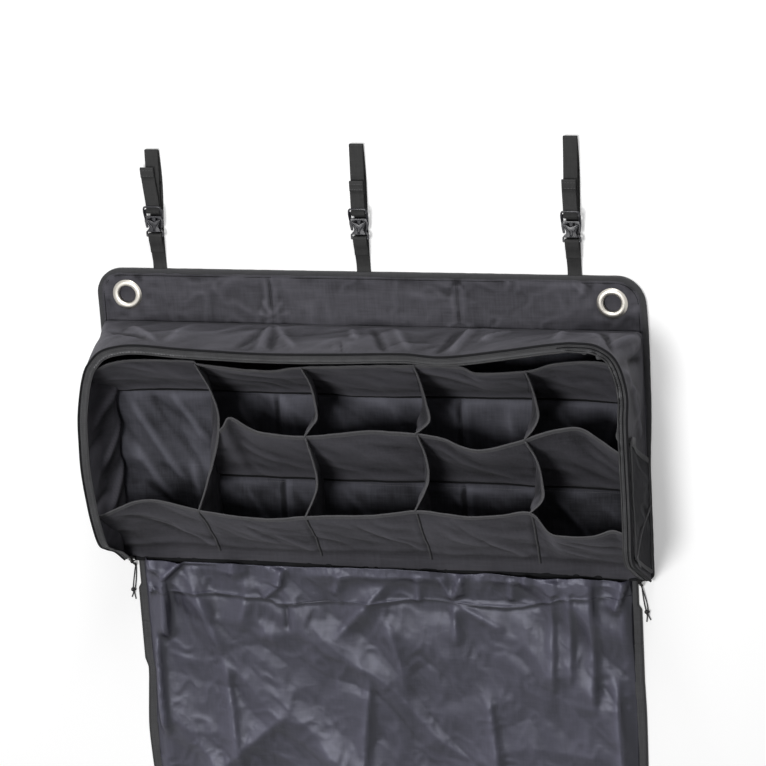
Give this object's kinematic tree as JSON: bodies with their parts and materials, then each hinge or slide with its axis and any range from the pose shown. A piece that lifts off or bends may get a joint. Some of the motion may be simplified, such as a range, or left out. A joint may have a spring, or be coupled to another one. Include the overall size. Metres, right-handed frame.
{
  "type": "hanging camping organizer",
  "caption": "Soft hanging camp organizer lying open: stiffened back panel, box of cloth compartments, zipped fold-over cover, buckled hanging straps and grommets.",
  "frame": {"origin": "centre of the back panel's rear face, on the plane that the organizer lies on", "axes": "+X to the organizer's right, +Y towards the hanging straps, +Z out of its open front"},
  "size_m": [0.8031, 1.095, 0.1409],
  "materials": {
    "canvas": "dark grey woven canvas",
    "canvas_trim": "dark grey binding and zip tape",
    "coated_lining": "shiny grey-violet coated lining",
    "webbing": "black-grey ribbed webbing",
    "net": "black knitted net",
    "black_plastic": "black moulded plastic",
    "nickel": "warm nickel plate",
    "dark_metal": "dark zip hardware",
    "board": "plain stiffener board",
    "cord": "black round cord"
  },
  "bodies": {
    "panel": {"back_panel": "canvas", "header_facing": "canvas", "compartment_facing": "canvas", "panel_binding": "canvas_trim", "stiffener_left": "board", "stiffener_middle": "board", "stiffener_right": "board", "grommet_eyelet_left": "nickel", "grommet_eyelet_right": "nickel", "grommet_washer_left": "nickel", "grommet_washer_right": "nickel", "side_wall_left": "canvas", "side_wall_right": "canvas", "head_wall": "canvas", "rim_zip_tape": "canvas_trim", "rim_piping": "canvas_trim", "rim_zip_coil": "black_plastic", "ceiling_shelf": "canvas", "middle_shelf": "canvas", "bottom_shelf": "canvas", "divider_full_height": "canvas", "divider_upper_2": "canvas", "divider_upper_3": "canvas", "divider_upper_4": "canvas", "divider_lower_2": "canvas", "divider_lower_3": "canvas", "divider_lower_4": "canvas", "pocket_binding": "canvas_trim", "pocket_net": "net"},
    "gusset": {"cover_gusset": "coated_lining", "gusset_zip_left": "canvas_trim", "gusset_zip_right": "canvas_trim"},
    "cover": {"cover_front": "coated_lining", "cover_front_zip": "canvas_trim"},
    "strap_1": {"lower_strap_1": "webbing", "loop_back_leg_1": "webbing", "buckle_female_1": "black_plastic"},
    "loop_1": {"loop_webbing_1": "webbing", "buckle_male_1": "black_plastic"},
    "strap_2": {"lower_strap_2": "webbing", "loop_back_leg_2": "webbing", "buckle_female_2": "black_plastic"},
    "loop_2": {"loop_webbing_2": "webbing", "buckle_male_2": "black_plastic"},
    "strap_3": {"lower_strap_3": "webbing", "loop_back_leg_3": "webbing", "buckle_female_3": "black_plastic"},
    "loop_3": {"loop_webbing_3": "webbing", "buckle_male_3": "black_plastic"},
    "slider_left": {"slider_left": "dark_metal"},
    "puller_left": {"puller_left": "dark_metal", "pull_cord_left": "cord", "cord_knot_left": "cord"},
    "slider_right": {"slider_right": "dark_metal"},
    "puller_right": {"puller_right": "dark_metal", "pull_cord_right": "cord", "cord_knot_right": "cord"}
  },
  "joints": [
    {"name": "cover_gusset_fold", "type": "hinge", "parent": "panel", "child": "gusset", "pos_m": [0, -0.2276, 0.002], "axis": [-1, 0, 0], "range_deg": [0, 120.5]},
    {"name": "cover_front_fold", "type": "hinge", "parent": "gusset", "child": "cover", "pos_m": [0, -0.38598, 0.0006], "axis": [-1, 0, 0], "range_deg": [0, 59.4]},
    {"name": "strap_1_swing", "type": "hinge", "parent": "panel", "child": "strap_1", "pos_m": [-0.303, 0.2277, 0.00165], "axis": [1, 0, 0], "range_deg": [-90, 100]},
    {"name": "buckle_1_release", "type": "slide", "parent": "strap_1", "child": "loop_1", "axis": [0, 1, 0], "range_m": [0, 0.024]},
    {"name": "strap_2_swing", "type": "hinge", "parent": "panel", "child": "strap_2", "pos_m": [0, 0.2277, 0.00165], "axis": [1, 0, 0], "range_deg": [-90, 100]},
    {"name": "buckle_2_release", "type": "slide", "parent": "strap_2", "child": "loop_2", "axis": [0, 1, 0], "range_m": [0, 0.024]},
    {"name": "strap_3_swing", "type": "hinge", "parent": "panel", "child": "strap_3", "pos_m": [0.303, 0.2277, 0.00165], "axis": [1, 0, 0], "range_deg": [-90, 100]},
    {"name": "buckle_3_release", "type": "slide", "parent": "strap_3", "child": "loop_3", "axis": [0, 1, 0], "range_m": [0, 0.024]},
    {"name": "slider_left_slide", "type": "slide", "parent": "panel", "child": "slider_left", "axis": [0, 0.5083, 0.8612], "range_m": [0, 0.118]},
    {"name": "puller_left_hinge", "type": "hinge", "parent": "slider_left", "child": "puller_left", "pos_m": [-0.381, -0.22471, 0.01771], "axis": [-1, 0, 0], "range_deg": [0, 120]},
    {"name": "slider_right_slide", "type": "slide", "parent": "panel", "child": "slider_right", "axis": [0, 0.5083, 0.8612], "range_m": [0, 0.118]},
    {"name": "puller_right_hinge", "type": "hinge", "parent": "slider_right", "child": "puller_right", "pos_m": [0.381, -0.22471, 0.01771], "axis": [-1, 0, 0], "range_deg": [0, 120]}
  ]
}
